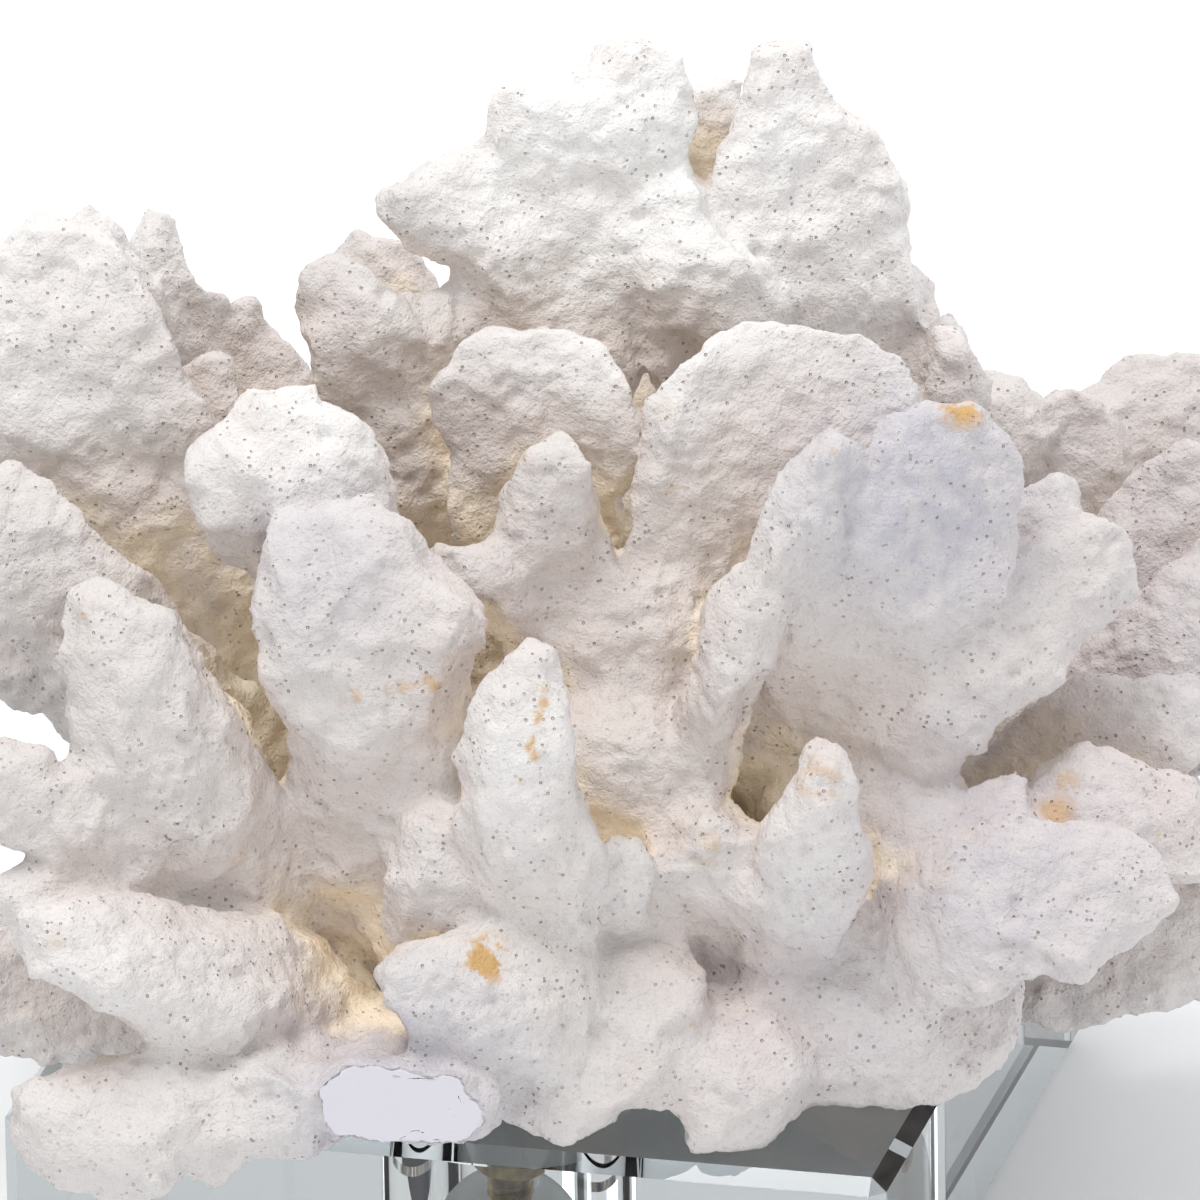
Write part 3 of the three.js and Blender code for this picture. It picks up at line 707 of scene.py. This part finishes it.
# Rusty spots and lilac areas, whiter patches of painted light and pinkish areas partly of painted
# shade, as (x, y, outward, radius, strength).
rust_marks = (
    (-10, 5, 92, 4.5, 1.0), (68, 96, 60, 5, 0.9), (45, 34, 82, 5, 0.6), (84, 28, 64, 5, 0.6),
    (65, 18, 72, 6, 0.35), (4, 19, 82, 3, 0.8), (-4, 89, 54, 3.5, 0.45), (0, 57, 92, 2.2, 0.7),
    (20, 95, 44, 4, 0.3), (-47, 79, 70, 2, 0.8), (-36, 47, 74, 4, 0.4), (26, 23, 74, 5, 0.4),
    (48, 14, 72, 5, 0.3), (-25, 7, 88, 3, 0.4), (-81, 8, 96, 3, 0.4), (-38, 6, 62, 5, 0.4),
    (96, 22, 66, 5, 0.35), (-66, 70, 60, 3, 0.5), (58, 30, 78, 3, 0.5),
    (-52, 22, 70, 3, 0.4), (86, 34, 62, 3, 0.5),
    *streak((1, 55, 92), (-4, 34, 92), 1.4, 0.75, 16),
    *streak((-41, 46, 76), (-17, 51, 76), 1.6, 0.6, 16),
    *streak((48, 88, 72), (34, 62, 72), 1.3, 0.45, 16),
    *streak((6, 66, 56), (2, 76, 56), 1.0, 0.5), *streak((84, 27, 70), (100, 20, 66), 1.3, 0.5))
lilac_marks = (
    (62, 82, 62, 22, 0.9), (-24, -18, 92, 20, 0.8), (75, 20, 70, 26, 0.55),
    (-38, 70, 66, 14, 0.5), (48, -2, 70, 22, 0.35), (108, 60, 0, 30, 0.35))
# Painted light: whiter patches, mostly on the crest and upper tips, where the overhead light
# falls.
painted_light_marks = (
    (8, 138, 6, 30, 0.95), (48, 132, 0, 34, 0.85), (-30, 100, 12, 16, 0.5),
    (-44, 92, 48, 14, 0.75), (-4, 40, 86, 14, 0.5), (-58, 92, -8, 14, 0.5),
    (20, 112, 4, 24, 0.8), (46, 22, 80, 12, 0.4), (-88, 118, 0, 26, 0.5),
    (-80, 4, 92, 20, 0.4))
# A pink tone that is partly painted shade, darkening the lobes it marks, mostly low and on the
# right.
pink_and_shade_marks = (
    (-8, 64, 50, 22, 0.9), (-50, 105, 0, 20, 0.7), (46, 40, 60, 26, 0.6), (0, 82, 50, 18, 0.5),
    (40, -14, 72, 24, 0.5), (90, 50, 30, 30, 0.6), (-75, 30, 60, 25, 0.35),
    (56, 112, 0, 24, 0.3), (-60, 40, 40, 24, 0.4), (92, 28, 60, 30, 0.7), (70, 4, 66, 26, 0.6),
    (100, 80, 0, 34, 0.8))

# The bare skeleton is chalky white, with ringed pores left by the polyps, a fine grain and a few
# rusty spots. Where it is shut in, painted warm bounce light makes it beige, then a bright tan.
coral_skin, skin_tree, skin_shader = principled("bleached coral", Roughness=0.88)
skin_shader.inputs["Specular IOR Level"].default_value = 0.25
skin_place = node(skin_tree, "ShaderNodeTexCoord").outputs["Object"]


def noise(scale, detail=3.0, roughness=0.55):
    """Noise over the coral, at that many cells a metre."""
    return node(skin_tree, "ShaderNodeTexNoise", {
        "Vector": skin_place, "Scale": scale, "Detail": detail, "Roughness": roughness})


def attribute(name):
    return node(skin_tree, "ShaderNodeAttribute", attribute_name=name).outputs["Fac"]


def level(value, low, high, start=0.0, end=1.0):
    """A value that eases from start to end as the first goes from low to high."""
    return node(skin_tree, "ShaderNodeMapRange", {
        "Value": value, "From Min": low, "From Max": high, "To Min": start, "To Max": end},
        interpolation_type="SMOOTHSTEP").outputs[0]


def blend(share, first, second):
    """A mix of two colours by a share from 0 to 1; each may be a value or a node's output."""
    mixed = node(skin_tree, "ShaderNodeMix", data_type="RGBA", blend_type="MIX")
    for socket, value in ((mixed.inputs["Factor"], share), (mixed.inputs[6], first),
                          (mixed.inputs[7], second)):
        if isinstance(value, bpy.types.NodeSocket):
            skin_tree.links.new(value, socket)
        else:
            socket.default_value = value
    return mixed.outputs[2]


def times(first, second):
    return maths(skin_tree, "MULTIPLY", first, second)


def plus(first, second):
    return maths(skin_tree, "ADD", first, second)


chalk = (0.70, 0.67, 0.66, 1)
painted_light_white = (0.89, 0.88, 0.874, 1)
painted_recess_beige = (0.72, 0.655, 0.625, 1)
pink_tone_and_shade = (0.64, 0.56, 0.54, 1)
lilac = (0.51, 0.495, 0.56, 1)
tan = (0.97, 0.86, 0.70, 1)
rust = (0.62, 0.37, 0.13, 1)
pore_brown = (0.50, 0.43, 0.38, 1)
speck_brown = (0.48, 0.35, 0.25, 1)
sawn_white = (0.66, 0.65, 0.71, 1)

broad = noise(38.0, 3.0)
mottle = noise(230.0, 3.0, 0.65)
fine = noise(1300.0, 2.0, 0.7)
shut = plus(attribute("hollow"), times(maths(skin_tree, "SUBTRACT", broad.outputs["Fac"], 0.5),
                                       0.35))
# Painted light: the marked patches, mostly the crest and tips, are painted whiter than the chalk.
colour = blend(attribute("painted_light"), chalk, painted_light_white)
# Painted warm bounce light: where blades shut a place in, the coral is painted beige.
colour = blend(level(shut, 0.08, 0.42, 0.0, 0.9), colour, painted_recess_beige)
# A pink tone, at random over the coral and stronger at the marks, where it is partly painted
# shade.
colour = blend(times(plus(level(broad.outputs["Fac"], 0.48, 0.7, 0.0, 0.35),
                          times(attribute("pink_and_shade"), 0.55)),
                     level(mottle.outputs["Fac"], 0.3, 0.65, 0.45, 1.0)), colour, pink_tone_and_shade)
colour = blend(times(attribute("lilac"), level(mottle.outputs["Fac"], 0.35, 0.6, 0.5, 0.95)),
               colour, lilac)
# Painted bounce light: deeper in the recesses, a tan brighter than the chalk lifts their shade.
colour = blend(level(shut, 0.42, 0.70, 0.0, 1.0), colour, tan)

# Ringed pores, thick in some places and few in others.
rings = node(skin_tree, "ShaderNodeTexVoronoi", {
    "Vector": skin_place, "Scale": 420.0})
ring_distance = rings.outputs["Distance"]
chosen = node(skin_tree, "ShaderNodeSeparateColor", {0: rings.outputs["Color"]}).outputs[0]
crowd = level(broad.outputs["Fac"], 0.36, 0.60, 0.1, 0.75)
shown = node(skin_tree, "ShaderNodeMath", {0: chosen, 1: crowd},
             operation="LESS_THAN").outputs[0]
ring = times(level(ring_distance, 0.12, 0.2), level(ring_distance, 0.24, 0.32, 1.0, 0.0))
ring = times(ring, shown)
specks = node(skin_tree, "ShaderNodeTexVoronoi", {
    "Vector": skin_place, "Scale": 800.0})
speck_luck = node(skin_tree, "ShaderNodeSeparateColor", {0: specks.outputs["Color"]}).outputs[1]
speck = times(level(specks.outputs["Distance"], 0.10, 0.26, 1.0, 0.0),
              level(speck_luck, 0.35, 1.0))
speck = times(speck, level(noise(75.0, 2.0).outputs["Fac"], 0.42, 0.62, 0.25, 1.0))
colour = blend(times(ring, 0.22), colour, pore_brown)
colour = blend(times(speck, 0.42), colour, speck_brown)

rusty = times(attribute("rust"), level(mottle.outputs["Fac"], 0.38, 0.55, 0.25, 1.0))
flecks = times(level(noise(170.0, 2.0).outputs["Fac"], 0.70, 0.76),
               level(broad.outputs["Fac"], 0.5, 0.6))
colour = blend(level(plus(rusty, times(flecks, 0.45)), 0.15, 0.85, 0.0, 0.9), colour, rust)
colour = blend(attribute("sawn"), colour, sawn_white)
skin_tree.links.new(colour, skin_shader.inputs["Base Color"])

relief = plus(times(fine.outputs["Fac"], 0.5), times(mottle.outputs["Fac"], 1.0))
relief = plus(relief, times(speck, -0.9))
relief = times(relief, maths(skin_tree, "SUBTRACT", 1.0, times(attribute("sawn"), 0.93)))
bump = node(skin_tree, "ShaderNodeBump", {
    "Strength": 1.0, "Distance": 0.0009, "Height": relief})
skin_tree.links.new(bump.outputs["Normal"], skin_shader.inputs["Normal"])


def blades_mesh(name, blades, **how):
    """Some blades in one mesh, still separate skins."""
    points, faces, count = [], [], 0
    for shape in blades:
        own_points, own_faces = blade_shape(*shape, **how)
        points.append(own_points)
        faces += [tuple(corner + count for corner in face) for face in own_faces]
        count += len(own_points)
    mesh = bpy.data.meshes.new(name)
    mesh.from_pydata(np.vstack(points), [], faces)
    return mesh


def remesh(piece, size):
    """Joins what touches into one skin, drawn on a grid of that size."""
    skin = piece.modifiers.new("one skin", "REMESH")
    skin.mode = "VOXEL"
    skin.voxel_size = size


def soften(piece, passes):
    rub = piece.modifiers.new("rubbed", "SMOOTH")
    rub.factor = 0.5
    rub.iterations = passes


growth, given, result = new_tree("Coral growth", Swell="Float", Swell_Scale="Float",
                                 Lumps="Float", Lump_Scale="Float", Grain="Float",
                                 Grain_Scale="Float", Pit_Depth="Float", Pit_Scale="Float",
                                 Dents="Float", Dent_Scale="Float")
place = node(growth, "GeometryNodeInputPosition").outputs[0]
drift = node(growth, "ShaderNodeTexNoise", {
    "Vector": place, "Scale": given.outputs["Swell Scale"], "Detail": 2.0})
drift = vectors(growth, "SUBTRACT", drift.outputs["Color"], (0.5, 0.5, 0.5))
drift = vectors(growth, "SCALE", drift, scale=given.outputs["Swell"])
swollen = node(growth, "GeometryNodeSetPosition", {
    "Geometry": given.outputs["Geometry"], "Offset": drift})
place = node(growth, "GeometryNodeInputPosition").outputs[0]
lumps = node(growth, "ShaderNodeTexNoise", {
    "Vector": place, "Scale": given.outputs["Lump Scale"], "Detail": 3.0, "Roughness": 0.55})
grain = node(growth, "ShaderNodeTexNoise", {
    "Vector": place, "Scale": given.outputs["Grain Scale"], "Detail": 3.0, "Roughness": 0.6})
pits = node(growth, "ShaderNodeTexVoronoi", {
    "Vector": place, "Scale": given.outputs["Pit Scale"]})
where = node(growth, "ShaderNodeTexNoise", {"Vector": place, "Scale": 45.0, "Detail": 1.0})
sunk = node(growth, "ShaderNodeMapRange", {
    "Value": pits.outputs["Distance"], "From Min": 0.12, "From Max": 0.42, "To Min": 1.0,
    "To Max": 0.0}, interpolation_type="SMOOTHSTEP").outputs[0]
pitted = node(growth, "ShaderNodeMapRange", {
    "Value": where.outputs["Fac"], "From Min": 0.45, "From Max": 0.6, "To Min": 0.15,
    "To Max": 1.0}).outputs[0]
height = maths(growth, "MULTIPLY", maths(growth, "SUBTRACT", lumps.outputs["Fac"], 0.5),
               given.outputs["Lumps"])
height = maths(growth, "ADD", height, maths(
    growth, "MULTIPLY", maths(growth, "SUBTRACT", grain.outputs["Fac"], 0.5),
    given.outputs["Grain"]))
height = maths(growth, "SUBTRACT", height, maths(
    growth, "MULTIPLY", maths(growth, "MULTIPLY", sunk, pitted), given.outputs["Pit Depth"]))
bend = node(growth, "ShaderNodeTexNoise", {"Vector": place, "Scale": 70.0, "Detail": 3.0})
bent = vectors(growth, "ADD", place,
               vectors(growth, "SCALE", bend.outputs["Color"], scale=0.012))
for finer, share in ((1.0, 1.0), (2.7, 0.42)):
    dents = node(growth, "ShaderNodeTexVoronoi", {
        "Vector": bent, "Scale": maths(growth, "MULTIPLY", given.outputs["Dent Scale"], finer)})
    raised = maths(growth, "SUBTRACT", dents.outputs["Distance"], 0.5)
    height = maths(growth, "ADD", height, maths(
        growth, "MULTIPLY", raised, maths(growth, "MULTIPLY", given.outputs["Dents"], share)))
normal = node(growth, "GeometryNodeInputNormal").outputs[0]
rough = node(growth, "GeometryNodeSetPosition", {
    "Geometry": swollen.outputs[0], "Offset": vectors(growth, "SCALE", normal, scale=height)})
whole = node(growth, "GeometryNodeRealizeInstances", {0: rough.outputs[0]})
finished = node(growth, "GeometryNodeSetMaterial", {
    "Geometry": whole.outputs[0], "Material": coral_skin})
growth.links.new(finished.outputs[0], result.inputs[0])

web_pitch = 0.0014
skin_pitch = 0.0008
chip_share = 0.014


def chip(piece, share):
    """Leaves flat chipped faces with crisp edges between them."""
    flats = piece.modifiers.new("chipped", "DECIMATE")
    flats.ratio = share


head = link(blades_mesh("coral head", [b for fork in branches.values() for b in fork]),
            "coral head")
remesh(head, web_pitch)
soften(head, 5)
chip(head, chip_share)
remesh(head, skin_pitch)
soften(head, 2)
use_tree(head, growth, {
    "Swell": 0.009, "Swell Scale": 45.0, "Lumps": 0.0022, "Lump Scale": 200.0,
    "Grain": 0.0011, "Grain Scale": 600.0, "Pit Depth": 0.0009, "Pit Scale": 240.0,
    "Dents": 0.0013, "Dent Scale": 110.0})
coral = plain_mesh(head, "coral grown")
discard(head)


def column(items, field, kind=int, width=1):
    """One field of all the items, in one flat array."""
    values = np.empty(len(items) * width, kind)
    items.foreach_get(field, values)
    return values


# The blades' furthest tips are kept just inside the frame's own tips.
coral_boxes = [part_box("coral_" + name) for name in branches]
tip_low = np.min([box[0] for box in coral_boxes], axis=0)
tip_high = np.max([box[1] for box in coral_boxes], axis=0)
tip_ease = 0.006
points = column(coral.vertices, "co", float, 3).reshape(-1, 3)
inner_low, inner_high = tip_low + tip_ease, tip_high - tip_ease
points = np.where(points > inner_high,
                  inner_high + tip_ease * np.tanh((points - inner_high) / tip_ease), points)
points = np.where(points < inner_low,
                  inner_low - tip_ease * np.tanh((inner_low - points) / tip_ease), points)

# A finger low on the left was sawn through, and shows a smooth flat oval end.
sawn_places = []
for centre, way, radius in sawn_ends:
    face_middle, face_way = spot(*centre), facing_way(*way)
    sawn_places.append((face_middle, face_way, radius / 1000))
    offset = points - face_middle
    proud = offset @ face_way
    sideways = np.linalg.norm(offset - proud[:, None] * face_way, axis=1)
    squashed = np.hypot(sideways, 0.8 * offset[:, 2])
    off = (proud > 0) & (proud < 0.02) & (squashed < radius / 1000)
    points[off] -= proud[off, None] * face_way
coral.vertices.foreach_set("co", points.ravel())
coral.update()

grown = link(coral, "coral grown")
saw_gap = 0.0003
saw_depth = 0.1
sawn_away = put(box_shape(
    (block_high.x - block_low.x + 2 * saw_gap, block_high.y - block_low.y + 2 * saw_gap,
     saw_depth),
    (block_middle.x, block_middle.y, block_high.z + saw_gap - saw_depth / 2)), "sawn away")
drilled = upright_rod("coral drill", rod_radius + rod_clearance, 0.02,
                      rod_high[2] + saw_gap, 64)
cut(grown, sawn_away, solver="MANIFOLD")
cut(grown, drilled, solver="MANIFOLD")
rest = link(plain_mesh(grown, "coral rest"), "coral rest")
discard(grown, sawn_away, drilled)


def store(mesh, name, values):
    mesh.attributes.new(name, "FLOAT", "POINT").data.foreach_set("value", values)


# How shut in each place on the coral is, from 0 on an outer tip to 1 deep between the blades.
# It drives the painted bounce light that tints the recesses beige and tan.
coarse_pitch = 0.003
ray_count = 40
ray_lift = 0.0015
ray_reach = 0.05
least_facing = 0.15
shade_maker = link(rest.data.copy(), "shade maker")
remesh(shade_maker, coarse_pitch)
shade_source = link(plain_mesh(shade_maker, "shade source"), "shade source")
discard(shade_maker)
shade_tree = BVHTree.FromObject(shade_source, bpy.context.evaluated_depsgraph_get())
rise = 1 - (2 * np.arange(ray_count) + 1) / ray_count
swirl = np.arange(ray_count) * math.pi * (3 - math.sqrt(5))
rays = [Vector((math.sqrt(1 - h * h) * math.cos(s), math.sqrt(1 - h * h) * math.sin(s), h))
        for h, s in zip(rise, swirl)]
shut_in = []
for vertex in shade_source.data.vertices:
    blocked, possible = 0.0, 0.0
    start = vertex.co + vertex.normal * ray_lift
    for ray in rays:
        share = ray.dot(vertex.normal)
        if share > least_facing:
            possible += share
            distance = shade_tree.ray_cast(start, ray, ray_reach)[3]
            if distance is not None:
                blocked += share * (1 - 0.5 * distance / ray_reach)
    shut_in.append(blocked / max(possible, 1e-6))
store(shade_source.data, "hollow", shut_in)

cut_face = bpy.data.materials.new("cut face")
carry, given, result = new_tree("Carry hollow", Source="Object")
source = node(carry, "GeometryNodeObjectInfo", {"Object": given.outputs["Source"]})
stored = node(carry, "GeometryNodeInputNamedAttribute", {"Name": "hollow"}, data_type="FLOAT")
nearest = node(carry, "GeometryNodeSampleNearestSurface", {
    "Mesh": source.outputs["Geometry"], "Value": stored.outputs["Attribute"]},
    data_type="FLOAT")
kept = node(carry, "GeometryNodeStoreNamedAttribute", {
    "Geometry": given.outputs["Geometry"], "Name": "hollow", "Value": nearest.outputs["Value"]},
    data_type="FLOAT", domain="POINT")
whole = node(carry, "GeometryNodeRealizeInstances", {0: kept.outputs[0]})
on_cut = node(carry, "GeometryNodeMaterialSelection", {"Material": cut_face})
off_cut = node(carry, "FunctionNodeBooleanMath", {0: on_cut.outputs[0]}, operation="NOT")
finished = node(carry, "GeometryNodeSetMaterial", {
    "Geometry": whole.outputs[0], "Selection": off_cut.outputs[0], "Material": coral_skin})
carry.links.new(finished.outputs[0], result.inputs[0])


def patch(seen, marks):
    """How strongly each seen point takes the marks, which are (x, y, outward, radius,
    strength), all in mm but the strength."""
    strength = np.zeros(len(seen))
    for x, y, outward, radius, most in marks:
        distance = np.linalg.norm((seen - (x, y, outward)) / (radius, radius, radius * 2.5),
                                  axis=1)
        strength = np.maximum(strength, most * np.clip(1.4 - distance, 0, 1))
    return strength


# The head is parted into its main branches along cells a little bigger than their blades.
cell_growth = 4.0
flat_slack = 0.0001
rest.data.materials.clear()
rest.data.materials.append(coral_skin)
rest.data.materials.append(cut_face)


def finish_branch(mesh, name, forks_in):
    """Gives one branch its marks and its smooth outside, and stands it for its CAD nodes."""
    branch_maker = link(mesh, "branch maker")
    use_tree(branch_maker, carry, {"Source": shade_source})
    mesh = plain_mesh(branch_maker, name)
    discard(branch_maker)
    corner_edge = column(mesh.loops, "edge_index")
    corner_kind = np.repeat(column(mesh.polygons, "material_index"),
                            column(mesh.polygons, "loop_total"))
    lowest = np.full(len(mesh.edges), 9)
    highest = np.full(len(mesh.edges), -9)
    np.minimum.at(lowest, corner_edge, corner_kind)
    np.maximum.at(highest, corner_edge, corner_kind)
    mesh.shade_smooth()
    sharp = mesh.attributes.get("sharp_edge") or mesh.attributes.new("sharp_edge", "BOOLEAN",
                                                                     "EDGE")
    sharp.data.foreach_set("value", lowest != highest)
    mesh.polygons.foreach_set("material_index", np.zeros(len(mesh.polygons), int))
    mesh.materials.clear()
    mesh.materials.append(coral_skin)
    place = column(mesh.vertices, "co", float, 3).reshape(-1, 3)
    seen = seen_from_front(place)
    sawn = np.zeros(len(place))
    for face_middle, face_way, radius in sawn_places:
        offset_from = place - face_middle
        on_face = np.abs(offset_from @ face_way) < flat_slack
        sawn[on_face & (np.linalg.norm(offset_from, axis=1) < radius)] = 1
    store(mesh, "sawn", sawn)
    store(mesh, "rust", patch(seen, rust_marks))
    store(mesh, "lilac", patch(seen, lilac_marks))
    store(mesh, "pink_and_shade", patch(seen, pink_and_shade_marks))
    store(mesh, "painted_light", patch(seen, painted_light_marks))
    branch = link(mesh, name)
    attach(branch, "root")
    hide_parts(*("coral_" + fork for fork in forks_in))


for name, forks_in in parted.items():
    cell_maker = link(blades_mesh("cell", [b for fork in forks_in for b in branches[fork]],
                                  grow=cell_growth, around=16, along=14, wavy=0.0), "cell maker")
    remesh(cell_maker, coarse_pitch)
    cell = link(plain_mesh(cell_maker, "cell"), "cell")
    discard(cell_maker)
    cell.data.materials.append(coral_skin)
    cell.data.materials.append(cut_face)
    cell.data.polygons.foreach_set("material_index", np.ones(len(cell.data.polygons), int))
    inside = link(rest.data, "inside")
    cut(inside, cell, "INTERSECT", "MANIFOLD")
    cut(rest, cell, solver="MANIFOLD")
    branch_mesh = plain_mesh(inside, name)
    remaining = link(plain_mesh(rest, "coral rest"), "coral rest")
    discard(inside, rest, cell)
    rest = remaining
    finish_branch(branch_mesh, "branch_" + name, forks_in)
finish_branch(rest.data.copy(), "branch_trunk", ("trunk",))
discard(rest, shade_source)
